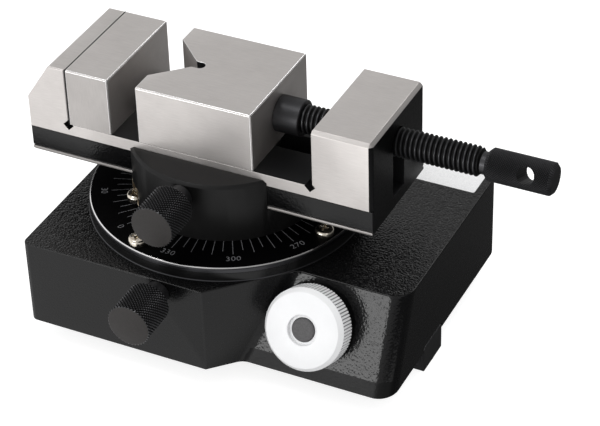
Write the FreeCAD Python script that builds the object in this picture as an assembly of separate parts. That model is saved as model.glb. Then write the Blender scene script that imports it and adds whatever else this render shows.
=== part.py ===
# Rotary vise: a ground steel vise on a slotted hub that turns on a painted base with a stage key.
# Millimetres, +Z up.  X runs along the vise screw, the origin is the turning axis at the key's foot.
import FreeCAD, Part
import math
import os

# Driving dimensions, millimetres.
# Stage key under the base.
key_width = 18.0
key_height = 12.0
key_drop = 9.5
key_y = -8.2
key_chamfer = 1.0
key_screw_r = 2.5
key_head_r = 4.3
key_head_h = 5.0
key_screw_inset = 4.8
key_screw_length = 15.0
key_socket_r = 2.3

# Base casting.
base_left = 62.1
base_right = 94.4
base_half_y = 62.2
base_height = 39.0
step_x = 19.2
panel_set_back = 11.0
panel_tilt = 23.5
base_corner_r = 8.0
base_front_r = 3.0
step_blend_r = 5.0
wall_left = 16.1
wall_right = 16.4
pocket_clear = 1.0
wall_back = 14.2
pocket_corner = 6.0
roof = 12.0
cover_thick = 5.0
cover_lap = 7.0
cover_gap = 0.2
cover_corner = 2.5
cover_screw_r = 2.0
cover_head_r = 3.2
cover_screw_length = 15.0

# Turntable, dial and hub.
running_gap = 0.03
slide_gap = 0.03
spindle_r = 18.0
spindle_foot = 6.4
bush_wall = 4.0
table_r = 57.6
table_gap = 0.05
table_height = 4.0
dial_inset = 0.1
dial_bore_r = 31.0
dial_thick = 2.2
dial_chamfer = 0.7
pan_r = 4.0
pan_h = 2.7
pan_shank_r = 2.0
pan_length = 6.0
pan_hole_gap = 0.2
dial_screw_in = 5.2
dial_screw_angle = -106.5
dial_screw_count = 4
hub_r = 39.5
hub_floor = 11.9
hub_height = 26.1
hub_chamfer = 1.2
hub_slot_edge = 0.2
hub_screw_in = 0.8
hub_screw_angle = -139.5
hub_screw_count = 2
hub_notch_r = 6.2
hub_notch_h = 9.0
hub_lip = 1.0
bolt_r = 5.0
bolt_head_r = 8.0
bolt_head_h = 8.0
bolt_length = 28.0
bolt_bore_depth = 29.0
bolt_socket_r = 4.6

# Thumbscrews, the same part on the hub and on the base.
thumb_r = 9.2
thumb_len = 17.0
thumb_neck_r = 5.0
thumb_neck_len = 7.0
thumb_shank_r = 3.0
thumb_chamfer = 0.6
thumb_seat_gap = 0.2
thumb_hole_gap = 0.05
pad_gap = 0.1
hub_pad_length = 4.35
base_pad_length = 8.0
hub_clamp_up = 20.1
base_lock_up = 33.7

# Vise bed.
bed_left = 76.9
bed_right = 75.7
bed_half = 25.0
side_relief = 0.1
foot_height = 2.0
foot_edge = 0.9
foot_groove = 0.6
paint_height = 11.7
rail_height = 17.0
jaw_height = 25.75
fixed_back_height = 26.1
fixed_strip_x = -65.9
fixed_face_x = -58.4
end_block_x = 50.2
relief_half = 2.3
relief_drop = 0.5
fixed_relief_in = 0.4
end_relief_out = 1.0
groove_half = 5.25
groove_depth = 10.8
groove_start = -48.0
edge = 0.5
gap_edge = 0.7
block_edge = 1.45

# Jaws.
plate_thick = 19.6
plate_screw_r = 3.0
plate_head_r = 5.0
plate_head_h = 6.0
plate_screw_y = 14.0
plate_screw_length = 19.0
plate_screw_seat = 8.0
plate_socket_r = 2.9
jaw_x = -26.5
jaw_length = 51.1
vee_half = 15.1
vee_depth = 15.7
vee_slot = 4.4
vee_slot_past = 2.6
guide_x = -6.0
guide_length = 28.0
guide_let_in = 3.0
guide_screw_r = 2.0
guide_head_r = 3.5
guide_head_h = 3.8
guide_screw_length = 12.5
guide_screw_seat = 4.6
guide_socket_r = 1.7

# Lead screw with its handle.
screw_up = 12.5
thread_r = 6.0
nose_r = 4.5
nose_length = 12.0
nose_groove_r = 3.0
collar_r = 7.5
collar_length = 10.9
thread_end = 108.6
neck_r = 4.4
neck_length = 4.8
handle_r = 6.7
handle_length = 26.9
handle_chamfer = 1.3
cross_hole_r = 3.5
cross_hole_tilt = 23.0
cross_hole_in = 10.3
pin_r = 1.5
pin_length = 9.4
pin_from_face = 7.0

# Fine feed: inclined screw, tangent arm and return plunger.
feed_x = 58.8
feed_up = 21.9
feed_r = 4.75
feed_bush_r = 8.0
feed_bush_length = 17.0
feed_reach = 20.2
ball_r = 2.4
contact_gap = 0.3
contact_reach = 22.0
knob_r = 16.8
knob_face_r = 15.5
knob_length = 11.5
knob_gap = 2.7
knob_bevel = 3.0
knob_recess_r = 6.1
knob_recess = 1.6
arm_foot = 9.5
arm_height = 10.0
arm_ring_r = 26.0
arm_half = 8.0
arm_back_y = 8.0
plunger_r = 4.0
plunger_house_r = 6.5
plunger_up = 13.0
plunger_end_wall = 9.2
plunger_bore_wall = 4.7
plunger_house_in = 20.0
plug_inset = 0.6
collar_ring_r = 25.0
collar_ring_h = 7.4
snap_groove_r = 16.6
snap_height = 1.5
snap_outer_r = 20.5
snap_gap = 0.08
grub_r = 2.0
grub_angles = (45, 225)
over = 1.0

# Heights that follow from them.
base_z = key_drop
panel_foot_y = panel_set_back - base_half_y
pocket_left = wall_left - base_left
pocket_right = base_right - wall_right
pocket_front = -arm_ring_r - pocket_clear
pocket_back = base_half_y - wall_back
plunger_end = base_half_y - plunger_end_wall
plunger_bore_end = base_half_y - plunger_bore_wall
plunger_house_y = pocket_back - plunger_house_in
dial_r = table_r - dial_inset
dial_screw_circle = dial_r - dial_screw_in
hub_screw_circle = hub_r - hub_screw_in
base_top = base_z + base_height
roof_z = base_top - roof
table_z = base_top + table_gap
dial_z = table_z + table_height - table_gap
dial_top = dial_z + dial_thick
hub_slot_z = dial_top + hub_floor
hub_top = dial_top + hub_height
bed_z = hub_slot_z + slide_gap
paint_z = bed_z + paint_height
rail_z = bed_z + rail_height
jaw_top = rail_z + jaw_height
screw_z = rail_z + screw_up
plate_x = fixed_face_x + plate_thick
jaw_back = jaw_x + jaw_length
snap_z = base_z + arm_foot - snap_gap - snap_height
plunger_z = base_z + plunger_up
bolt_seat_z = hub_slot_z - bolt_head_h - 0.4
hub_clamp_z = dial_top + hub_clamp_up
base_lock_z = base_z + base_lock_up
hub_seat_y = -hub_r - thumb_seat_gap
base_seat_y = -base_half_y - thumb_seat_gap
hub_pad_y = -bed_half + side_relief - 0.05
base_pad_y = -spindle_r - contact_gap
hub_tip = hub_pad_y - hub_pad_length - pad_gap
base_tip = base_pad_y - base_pad_length - pad_gap
tilt = math.radians(panel_tilt)

V = FreeCAD.Vector
X = V(1, 0, 0)
Y = V(0, 1, 0)
Z = V(0, 0, 1)


def box(x0, x1, y0, y1, z0, z1):
    """Block between two corners."""
    return Part.makeBox(x1 - x0, y1 - y0, z1 - z0, V(x0, y0, z0))


def cyl(r, length, at, axis=Z):
    """Cylinder from a centre point along an axis."""
    return Part.makeCylinder(r, length, at, axis)


def turned(profile, at, axis):
    """Turned piece from (distance along axis, radius) points."""
    pts = [V(r, 0, h) for h, r in profile]
    pts = [V(0, 0, profile[0][0])] + pts + [V(0, 0, profile[-1][0])]
    face = Part.Face(Part.makePolygon(pts + [pts[0]]))
    solid = face.revolve(V(0, 0, 0), Z, 360)
    solid.Placement = FreeCAD.Placement(at, FreeCAD.Rotation(Z, axis))
    return solid


def prism(points, z0, z1):
    """Upright prism from plan points."""
    pts = [V(x, y, z0) for x, y in points]
    face = Part.Face(Part.makePolygon(pts + [pts[0]]))
    return face.extrude(V(0, 0, z1 - z0))


def side_prism(points, y0, y1):
    """Prism across the vise from (x, z) points."""
    pts = [V(x, y0, z) for x, z in points]
    face = Part.Face(Part.makePolygon(pts + [pts[0]]))
    return face.extrude(V(0, y1 - y0, 0))


def pick(shape, test):
    """Straight edges whose middle and direction pass a test."""
    found = []
    for e in shape.Edges:
        if len(e.Vertexes) != 2:
            continue
        a = e.Vertexes[0].Point
        b = e.Vertexes[1].Point
        if abs((b - a).Length - e.Length) > 1e-6:
            continue
        if test((a + b) * 0.5, (b - a).normalize()):
            found.append(e)
    return found


def round_pocket(x0, x1, y0, y1, z0, z1, r):
    """Block with rounded upright corners."""
    b = box(x0, x1, y0, y1, z0, z1)
    return b.makeFillet(r, pick(b, lambda m, d: abs(d.z) > 0.9))


def pan_screw(x, y, z, length):
    """Cross-recessed pan-head screw, head seat at z."""
    prof = [(-length, pan_shank_r), (0, pan_shank_r), (0, pan_r)]
    for k in range(1, 6):
        a = math.radians(15 * k)
        prof.append((pan_h * (0.45 + 0.55 * math.sin(a)), pan_r - 1.4 * (1 - math.cos(a))))
    prof.append((pan_h, 1.6))
    s = turned(prof, V(x, y, z), Z)
    turn = math.degrees(math.atan2(y, x)) + 20
    for k in (0, 90):
        slot = box(-2.0, 2.0, -0.42, 0.42, pan_h - 1.3, pan_h + 1)
        slot.rotate(V(0, 0, 0), Z, turn + k)
        slot.translate(V(x, y, z))
        s = s.cut(slot)
    return s


def cap_screw(at, axis, shank_r, shank, head_r, head_h, hex_r):
    """Socket-head cap screw: seat at the point, shank along the axis."""
    s = turned([(-head_h, head_r - 0.4), (-head_h + 0.4, head_r), (0, head_r), (0, shank_r),
                (shank - 0.6, shank_r), (shank, shank_r - 0.6)], at, axis)
    corners = [polar(hex_r, 60 * k) for k in range(7)]
    key = Part.Face(Part.makePolygon([V(x, y, -head_h - over) for x, y in corners]))
    key = key.extrude(V(0, 0, over + head_h * 0.55))
    key.Placement = FreeCAD.Placement(at, FreeCAD.Rotation(Z, axis))
    return s.cut(key)


def polar(r, deg):
    """Plan point on a circle about the turning axis."""
    return r * math.cos(math.radians(deg)), r * math.sin(math.radians(deg))


# Fine-feed line: runs in through the inclined panel, square to it.
feed_axis = V(0, math.cos(tilt), -math.sin(tilt))
feed_foot = V(feed_x, panel_foot_y + feed_up * math.tan(tilt), base_z + feed_up)


def feed_point(t):
    """Point on the fine-feed line, t millimetres in from the panel."""
    return feed_foot + feed_axis * t


def base_outline():
    """Plan of the base at its foot, with the oblique wall beside the panel."""
    return [(-base_left, -base_half_y), (step_x, -base_half_y),
            (step_x + panel_foot_y + base_half_y, panel_foot_y), (base_right, panel_foot_y),
            (base_right, base_half_y), (-base_left, base_half_y)]


def make_base():
    """Painted casting: block with an oblique wall, an inclined knob panel and a pocket below."""
    b = prism(base_outline(), base_z, base_top)
    rise = base_height * math.tan(tilt)
    front = -base_half_y - over
    wedge = Part.Face(Part.makePolygon([V(step_x, front, base_z), V(step_x, panel_foot_y, base_z),
                                        V(step_x, panel_foot_y + rise, base_top), V(step_x, front, base_top),
                                        V(step_x, front, base_z)]))
    wedge = wedge.extrude(V(base_right - step_x + over, 0, 0))
    run = base_half_y
    side = prism([(step_x, -base_half_y), (step_x + run, -base_half_y + run),
                  (base_right + run, -base_half_y + run), (base_right + run, -base_half_y)],
                 base_z - over, base_top + over)
    b = b.cut(wedge.common(side))
    b = b.makeFillet(base_corner_r, pick(b, lambda m, d: m.x > base_right - 0.1 and abs(d.x) < 0.1
                                         and abs(d.z) > 0.5))
    b = b.makeFillet(base_front_r, pick(b, lambda m, d: m.x < -base_left + 0.1 and abs(d.z) > 0.9))
    b = b.makeFillet(step_blend_r, pick(b, lambda m, d: step_x + over < m.x < base_right - base_corner_r
                                        and abs(d.z) > 0.3 and base_z + over < m.z < base_top - over))
    b = b.cut(round_pocket(pocket_left, pocket_right, pocket_front, pocket_back, base_z - over, roof_z,
                           pocket_corner))
    b = b.cut(round_pocket(pocket_left - cover_lap, pocket_right + cover_lap, pocket_front - cover_lap,
                           pocket_back + cover_lap, base_z - over, base_z + cover_thick, cover_corner))
    b = b.cut(cyl(spindle_r + bush_wall, roof + 2 * over, V(0, 0, roof_z - over)))
    b = b.cut(thumb_bore(-base_half_y - over, -spindle_r, base_lock_z))
    b = b.cut(cyl(feed_bush_r, feed_bush_length + feed_bush_r, feed_point(-feed_bush_r / 2), feed_axis))
    b = b.cut(cyl(plunger_house_r, wall_back + 2 * over, V(feed_x, pocket_back - over, plunger_z), Y))
    b = b.cut(key_groove())
    for x in key_screw_places():
        b = b.cut(cyl(key_screw_r, key_screw_length + key_head_h + over - key_drop + 3, V(x, key_y, base_z)))
    for x, y in cover_screw_places():
        b = b.cut(cyl(cover_screw_r, cover_screw_length + 3, V(x, y, base_z)))
    return b


def thumb_bore(y0, y1, z):
    """Bore for a thumbscrew's shank and its pad."""
    return cyl(thumb_shank_r + thumb_hole_gap, y1 - y0, V(0, y0, z), Y)


def key_groove():
    """Groove that takes the stage key."""
    return box(-base_left - over, base_right + over, key_y - key_width / 2, key_y + key_width / 2,
               base_z - over, key_height)


def key_screw_places():
    """X of the two key screws, in the base's end walls."""
    return (-base_left + key_screw_inset, base_right - key_screw_inset)


def cover_screw_places():
    """Plan points of the cover screws."""
    d = cover_lap / 2
    return [(x, y) for x in (pocket_left - d, pocket_right + d) for y in (pocket_front - d, pocket_back + d)]


def make_cover():
    """Bottom cover let into the base, grooved for the key."""
    g = cover_gap
    c = round_pocket(pocket_left - cover_lap + g, pocket_right + cover_lap - g, pocket_front - cover_lap + g,
                     pocket_back + cover_lap - g, base_z, base_z + cover_thick, cover_corner)
    c = c.cut(key_groove())
    for x, y in cover_screw_places():
        c = c.cut(cyl(cover_screw_r + cover_gap, cover_thick + 2 * over, V(x, y, base_z - over)))
        c = c.cut(Part.makeCone(cover_head_r + 0.4, cover_screw_r, 2.2, V(x, y, base_z - 0.4)))
    return c


def make_cover_screws():
    """Countersunk screws of the cover."""
    out = []
    for x, y in cover_screw_places():
        s = turned([(0.1, cover_head_r - 0.4), (0.3, cover_head_r - 0.3), (1.8, cover_screw_r),
                    (cover_screw_length, cover_screw_r)], V(x, y, base_z), Z)
        s = s.cut(box(x - cover_head_r, x + cover_head_r, y - 0.5, y + 0.5, base_z - over, base_z + 1.1))
        out.append(s)
    return Part.makeCompound(out)


def make_key():
    """Steel stage key, let into the underside of the base."""
    k = box(-base_left, base_right, key_y - key_width / 2, key_y + key_width / 2, 0, key_height)
    k = k.makeChamfer(key_chamfer, pick(k, lambda m, d: abs(d.x) > 0.9 and m.z > key_drop))
    for x in key_screw_places():
        k = k.cut(cyl(key_screw_r + 0.25, key_height + 2 * over, V(x, key_y, -over)))
        k = k.cut(cyl(key_head_r + 0.3, key_head_h + 0.5 + over, V(x, key_y, -over)))
    return k


def make_key_screws():
    """Cap screws of the stage key."""
    return Part.makeCompound([cap_screw(V(x, key_y, key_head_h + 0.5), Z, key_screw_r, key_screw_length,
                                        key_head_r, key_head_h, key_socket_r) for x in key_screw_places()])


def make_spindle_bush():
    """Bronze bush of the spindle, with a side hole for the lock pad."""
    b = cyl(spindle_r + bush_wall, roof, V(0, 0, roof_z))
    b = b.cut(cyl(spindle_r + running_gap, roof + 2 * over, V(0, 0, roof_z - over)))
    return b.cut(thumb_bore(-spindle_r - bush_wall - over, -spindle_r + over, base_lock_z))


def make_turntable():
    """Steel turntable with its spindle, tapped for the hub, dial and centre bolt."""
    foot = base_z + spindle_foot
    t = turned([(foot, spindle_r - 1), (foot + 1, spindle_r), (table_z, spindle_r), (table_z, table_r),
                (dial_z, table_r)], V(0, 0, 0), Z)
    t = t.cut(cyl(bolt_r, bolt_bore_depth + over, V(0, 0, dial_z - bolt_bore_depth)))
    for x, y in table_screw_points():
        t = t.cut(cyl(pan_shank_r, table_height + 2 * over, V(x, y, table_z - over)))
    g = cyl(spindle_r + 1, snap_height, V(0, 0, snap_z)).cut(cyl(snap_groove_r, snap_height, V(0, 0, snap_z)))
    return t.cut(g)


def screw_points(circle, start, count):
    """Plan points of a ring of screws."""
    return [polar(circle, start + 360.0 / count * k) for k in range(count)]


def table_screw_points():
    """Plan points of the dial's and the hub's screws."""
    return (screw_points(dial_screw_circle, dial_screw_angle, dial_screw_count)
            + screw_points(hub_screw_circle, hub_screw_angle, hub_screw_count))


def make_dial():
    """Scale disc with a chamfered rim."""
    d = turned([(dial_z, dial_r), (dial_top - dial_chamfer, dial_r), (dial_top, dial_r - dial_chamfer)],
               V(0, 0, 0), Z)
    d = d.cut(cyl(dial_bore_r, dial_thick + 2 * over, V(0, 0, dial_z - over)))
    for x, y in table_screw_points():
        d = d.cut(cyl(pan_shank_r + pan_hole_gap, dial_thick + 2 * over, V(x, y, dial_z - over)))
    return d


def make_hub():
    """Slotted hub: a round floor with two cheeks that hold the bed."""
    h = turned([(dial_z, dial_bore_r - 0.1), (dial_top, dial_bore_r - 0.1), (dial_top, hub_r),
                (hub_top - hub_chamfer, hub_r), (hub_top, hub_r - hub_chamfer)], V(0, 0, 0), Z)
    slot = bed_half + slide_gap
    h = h.cut(box(-hub_r - over, hub_r + over, -slot, slot, hub_slot_z, hub_top + over))
    h = h.cut(cyl(bolt_r + 0.25, hub_height, V(0, 0, dial_z - over)))
    h = h.cut(cyl(bolt_head_r + 0.3, bolt_head_h + 2 * over, V(0, 0, bolt_seat_z)))
    h = h.cut(thumb_bore(-hub_r - over, -slot + over, hub_clamp_z))
    for x, y in screw_points(hub_screw_circle, hub_screw_angle, hub_screw_count):
        h = h.cut(cyl(hub_notch_r, hub_notch_h - hub_lip, V(x, y, dial_top + hub_lip)))
        h = h.cut(cyl(pan_shank_r + pan_hole_gap, dial_thick + hub_lip + 2 * over, V(x, y, dial_z - over)))
    top = pick(h, lambda m, d: m.z > hub_top - 0.01 and abs(d.x) > 0.9)
    return h.makeChamfer(hub_slot_edge, top)


def make_collar_ring():
    """Thrust collar that holds the spindle up in its bush."""
    z1 = roof_z - 0.04
    r = turned([(z1 - collar_ring_h, collar_ring_r - 0.5), (z1 - collar_ring_h + 0.5, collar_ring_r),
                (z1, collar_ring_r)], V(0, 0, 0), Z)
    r = r.cut(cyl(spindle_r, collar_ring_h + 2 * over, V(0, 0, z1 - collar_ring_h - over)))
    for a in grub_angles:
        x, y = polar(spindle_r, a)
        r = r.cut(cyl(grub_r, collar_ring_r, V(x, y, z1 - collar_ring_h / 2), V(x, y, 0)))
    return r


def make_grub_screws():
    """Grub screws of the thrust collar."""
    z = roof_z - 0.04 - collar_ring_h / 2
    out = []
    for a in grub_angles:
        x, y = polar(spindle_r, a)
        n = V(x, y, 0).normalize()
        s = cyl(grub_r, collar_ring_r - spindle_r - 0.8, V(x, y, z), n)
        out.append(s.cut(cyl(0.9, 2.4, V(x, y, z) + n * (collar_ring_r - spindle_r - 3.0), n)))
    return Part.makeCompound(out)


def make_snap_ring():
    """Open snap ring that keeps the tangent arm up."""
    r = cyl(snap_outer_r, snap_height - 0.05, V(0, 0, snap_z + 0.02))
    r = r.cut(cyl(snap_groove_r + 0.05, snap_height + 2 * over, V(0, 0, snap_z - over)))
    return r.cut(box(0, snap_outer_r + over, -3.0, 3.0, snap_z - over, snap_z + snap_height + over))


def make_arm():
    """Tangent arm on the spindle, its pad square to the fine-feed screw."""
    z0 = base_z + arm_foot
    z1 = z0 + arm_height
    pad = feed_point(contact_reach)
    y0 = pad.y - 6
    x0 = feed_x - arm_half
    x1 = feed_x + arm_half
    web = prism([(0, -16), (x0 - 8, -arm_half - 3), (x0, y0), (x1, y0), (x1, arm_back_y), (x0, arm_back_y),
                 (0, 17)], z0, z1)
    a = cyl(arm_ring_r, arm_height, V(0, 0, z0)).fuse(web).removeSplitter()
    reach = arm_ring_r
    cutter = box(-reach, reach, -2 * reach, 0, -reach, reach)
    cutter.rotate(V(0, 0, 0), X, -panel_tilt)
    cutter.translate(pad)
    a = a.cut(cutter)
    a = a.cut(cyl(spindle_r + running_gap, arm_height + 2 * over, V(0, 0, z0 - over)))
    return a.makeFillet(2.5, pick(a, lambda m, d: m.x > feed_x and abs(d.z) > 0.9 and m.y > 0))


def make_thumbscrew(seat, tip, up):
    """Knurled thumbscrew, its neck's foot at y seat and its shank's tip at y tip."""
    shank = tip - seat
    head = -thumb_neck_len
    face = head - thumb_len
    c = thumb_chamfer
    prof = [(face, thumb_r - c), (face + c, thumb_r), (head - c, thumb_r), (head, thumb_r - c),
            (head, thumb_neck_r), (0, thumb_neck_r), (0, thumb_shank_r), (shank - 0.5, thumb_shank_r),
            (shank, thumb_shank_r - 0.5)]
    return turned(prof, V(0, seat, up), Y)


def make_pad(y1, length, up):
    """Brass pad ahead of a thumbscrew, its working face at y1."""
    return cyl(thumb_shank_r, length, V(0, y1 - length, up), Y)


def bed_section():
    """Side outline of the ground part of the bed."""
    return [(-bed_left, paint_z), (-bed_left, bed_z + fixed_back_height), (fixed_strip_x, jaw_top),
            (fixed_face_x, jaw_top), (fixed_face_x, rail_z), (end_block_x, rail_z), (end_block_x, jaw_top),
            (bed_right, jaw_top), (bed_right, paint_z)]


def diamond(x, z):
    """Square grinding relief set on its corner."""
    r = relief_half
    return side_prism([(x - r, z), (x, z + r), (x + r, z), (x, z - r)], -bed_half - 1, bed_half + 1)


def make_bed():
    """Vise bed in one piece: fixed jaw, grooved rail and end block."""
    b = side_prism(bed_section(), -bed_half, bed_half)
    b = b.makeChamfer(block_edge, pick(b, lambda m, d: (m.z > jaw_top - 0.01 and m.x > end_block_x + over)
                                       or (m.x > bed_right - 0.01 and abs(d.z) > 0.9)))
    b = b.makeChamfer(edge, pick(b, lambda m, d: m.z > jaw_top - 0.01 and m.x < end_block_x + 0.01))
    b = b.makeChamfer(gap_edge, pick(b, lambda m, d: abs(m.x - fixed_face_x) < 0.01 and abs(d.z) > 0.9))
    s = bed_half - side_relief
    side = box(-bed_left, bed_right, -s, s, bed_z + foot_height + foot_groove, paint_z)
    core = box(-bed_left, bed_right, foot_groove - s, s - foot_groove, bed_z + over, paint_z)
    foot = box(-bed_left, bed_right, -bed_half, bed_half, bed_z, bed_z + foot_height)
    foot = foot.makeChamfer(foot_edge, pick(foot, lambda m, d: m.z < bed_z + 0.01))
    b = b.fuse([side, core, foot]).removeSplitter()
    for x in (fixed_face_x - fixed_relief_in, end_block_x - end_relief_out):
        b = b.cut(diamond(x, rail_z - relief_drop))
    g = groove_half
    floor = rail_z - groove_depth
    b = b.cut(box(groove_start + g, bed_right + 1, -g, g, floor, rail_z + 1))
    b = b.cut(cyl(g, groove_depth + 1, V(groove_start + g, 0, floor)))
    b = b.cut(box(end_block_x - 1, bed_right + 1, -g, g, floor, screw_z))
    b = b.cut(cyl(thread_r + 0.05, bed_right - end_block_x + 2 * over, V(end_block_x - over, 0, screw_z), X))
    for y in (-plate_screw_y, plate_screw_y):
        b = b.cut(cyl(plate_screw_r + 0.2, plate_screw_length,
                      V(fixed_face_x - plate_screw_length + over, y, screw_z), X))
        b = b.cut(cyl(plate_head_r + 0.3, bed_left + fixed_face_x - plate_screw_seat + over,
                      V(-bed_left - over, y, screw_z), X))
    return b


def make_plate():
    """Hardened jaw plate, a block held on the fixed jaw."""
    p = box(fixed_face_x, plate_x, -bed_half, bed_half, rail_z, jaw_top)
    p = p.makeChamfer(edge, pick(p, lambda m, d: m.z > jaw_top - 0.01 or (abs(d.z) > 0.9)))
    for y in (-plate_screw_y, plate_screw_y):
        p = p.cut(cyl(plate_screw_r, plate_screw_length - plate_screw_seat + 2 * over,
                      V(fixed_face_x - over, y, screw_z), X))
    return p


def make_plate_screws():
    """Cap screws of the jaw plate, put in from the back of the fixed jaw."""
    seat = fixed_face_x - plate_screw_seat
    return Part.makeCompound([cap_screw(V(seat, y, screw_z), X, plate_screw_r, plate_screw_length,
                                        plate_head_r, plate_head_h, plate_socket_r)
                              for y in (-plate_screw_y, plate_screw_y)])


def make_jaw():
    """Moving jaw with an upright vee and a relief slot at its root."""
    z0 = rail_z + slide_gap
    j = box(jaw_x, jaw_back, -bed_half, bed_half, z0, jaw_top)
    j = j.makeChamfer(edge, pick(j, lambda m, d: m.z > jaw_top - 0.01 or abs(d.z) > 0.9))
    root = jaw_x + vee_depth
    j = j.cut(prism([(jaw_x - 1, -vee_half - 1 * vee_half / vee_depth), (root, 0),
                     (jaw_x - 1, vee_half + 1 * vee_half / vee_depth)], z0 - 1, jaw_top + 1))
    s = vee_slot / 2
    end = root + vee_slot_past - s
    j = j.cut(box(jaw_x + 4, end, -s, s, z0 - 1, jaw_top + 1))
    j = j.cut(cyl(s, jaw_height + 2, V(end, 0, z0 - 1)))
    j = j.cut(cyl(nose_r + running_gap, nose_length + 1.3, V(jaw_back - nose_length - 0.3, 0, screw_z), X))
    j = j.cut(box(guide_x, guide_x + guide_length, -groove_half, groove_half, z0 - 1, rail_z + guide_let_in))
    j = j.cut(cyl(pin_r, pin_length + guide_let_in + 0.6, V(pin_x(), pin_y(), rail_z), Z))
    for x in guide_screw_places():
        j = j.cut(cyl(guide_screw_r, 7.0, V(x, 0, rail_z), Z))
    return j


def pin_x():
    """X of the nose retaining pin."""
    return jaw_back - pin_from_face


def pin_y():
    """Y of the pin, which runs beside the nose's groove."""
    return nose_groove_r + pin_r + 0.1


def guide_screw_places():
    """X of the guide key's screws."""
    return (guide_x + 5, guide_x + 16)


def make_guide():
    """Guide key under the moving jaw, running in the bed's groove."""
    g = groove_half - slide_gap
    k = box(guide_x, guide_x + guide_length, -g, g, rail_z - groove_depth + 0.5, rail_z + guide_let_in)
    for x in guide_screw_places():
        k = k.cut(cyl(guide_screw_r + 0.2, groove_depth + guide_let_in + 2 * over,
                      V(x, 0, rail_z - groove_depth - over), Z))
        k = k.cut(cyl(guide_head_r + 0.2, guide_screw_seat, V(x, 0, rail_z - groove_depth), Z))
    return k


def make_guide_screws():
    """Cap screws of the guide key."""
    z = rail_z - groove_depth + guide_screw_seat
    return Part.makeCompound([cap_screw(V(x, 0, z), Z, guide_screw_r, guide_screw_length, guide_head_r,
                                        guide_head_h, guide_socket_r) for x in guide_screw_places()])


def make_pin():
    """Pin that holds the screw's nose in the jaw."""
    return cyl(pin_r, pin_length, V(pin_x(), pin_y(), rail_z + guide_let_in + 0.1), Z)


def make_lead_screw():
    """Lead screw in one piece with its collar and handle."""
    x0 = jaw_back - nose_length
    gx = pin_x()
    cx = jaw_back + 0.05
    c1 = cx + collar_length
    n1 = thread_end + neck_length
    h1 = n1 + handle_length
    g0 = gx - pin_r - 0.2
    g1 = gx + pin_r + 0.2
    prof = [(x0, nose_r - 0.5), (x0 + 0.5, nose_r), (g0, nose_r), (g0, nose_groove_r), (g1, nose_groove_r),
            (g1, nose_r), (cx, nose_r), (cx, collar_r - 0.3), (cx + 0.3, collar_r), (c1 - 0.3, collar_r),
            (c1, collar_r - 0.3), (c1, thread_r), (thread_end - 1.2, thread_r), (thread_end, neck_r), (n1, neck_r), (n1, handle_r - handle_chamfer),
            (n1 + handle_chamfer, handle_r), (h1 - handle_chamfer, handle_r), (h1, handle_r - handle_chamfer)]
    s = turned(prof, V(0, 0, screw_z), X)
    a = math.radians(cross_hole_tilt)
    d = V(0, -math.cos(a), math.sin(a))
    return s.cut(cyl(cross_hole_r, 4 * handle_r, V(h1 - cross_hole_in, 0, screw_z) - d * (2 * handle_r), d))


def make_feed_bush():
    """Brass bush of the fine-feed screw."""
    b = cyl(feed_bush_r, feed_bush_length, feed_point(0), feed_axis)
    return b.cut(cyl(feed_r + running_gap, feed_bush_length + 2 * over, feed_point(-over), feed_axis))


def make_feed_screw():
    """Fine-feed screw, bored at its inner end for the ball."""
    face = -knob_gap - knob_length
    s = turned([(face + 0.7, feed_r - 0.4), (face + 1.1, feed_r), (feed_reach - 0.5, feed_r),
                (feed_reach, feed_r - 0.5)], feed_point(0), feed_axis)
    ball_foot = contact_reach - contact_gap - 2 * ball_r - 0.1
    return s.cut(cyl(ball_r + 0.05, 4 * ball_r, feed_point(ball_foot), feed_axis))


def make_knob():
    """Serrated feed knob with a recessed centre."""
    face = -knob_gap - knob_length
    back = -knob_gap
    k = turned([(face, knob_face_r - 0.5), (face + 0.15, knob_face_r - 0.1), (face + knob_bevel, knob_r),
                (back - 1.2, knob_r), (back, knob_r - 1.2)], feed_point(0), feed_axis)
    k = k.cut(cyl(knob_recess_r, knob_recess + over, feed_point(face - over), feed_axis))
    return k.cut(cyl(feed_r, knob_length + 2 * over, feed_point(face - over), feed_axis))


def make_ball():
    """Ball at the screw's tip."""
    return Part.makeSphere(ball_r, feed_point(contact_reach - contact_gap - ball_r))


def make_plunger():
    """Return plunger behind the tangent arm."""
    y0 = arm_back_y + contact_gap
    return turned([(y0, 1.6), (y0 + 0.8, 3.0), (y0 + 2.2, plunger_r), (plunger_end, plunger_r)],
                  V(feed_x, 0, plunger_z), Y)


def make_plunger_house():
    """Plunger housing, screwed in through the back wall."""
    z = plunger_z
    y = base_half_y - plug_inset
    h = cyl(plunger_house_r, y - plunger_house_y, V(feed_x, plunger_house_y, z), Y)
    h = h.cut(cyl(plunger_r + running_gap, plunger_bore_end - plunger_house_y + over,
                  V(feed_x, plunger_house_y - over, z), Y))
    r = plunger_house_r + over
    return h.cut(box(feed_x - r, feed_x + r, y - 1.2, y + over, z - 0.6, z + 0.6))


def make_table_screws(circle, start, count, seat, length):
    """Ring of pan-head screws."""
    return Part.makeCompound([pan_screw(x, y, seat, length) for x, y in screw_points(circle, start, count)])


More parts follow.
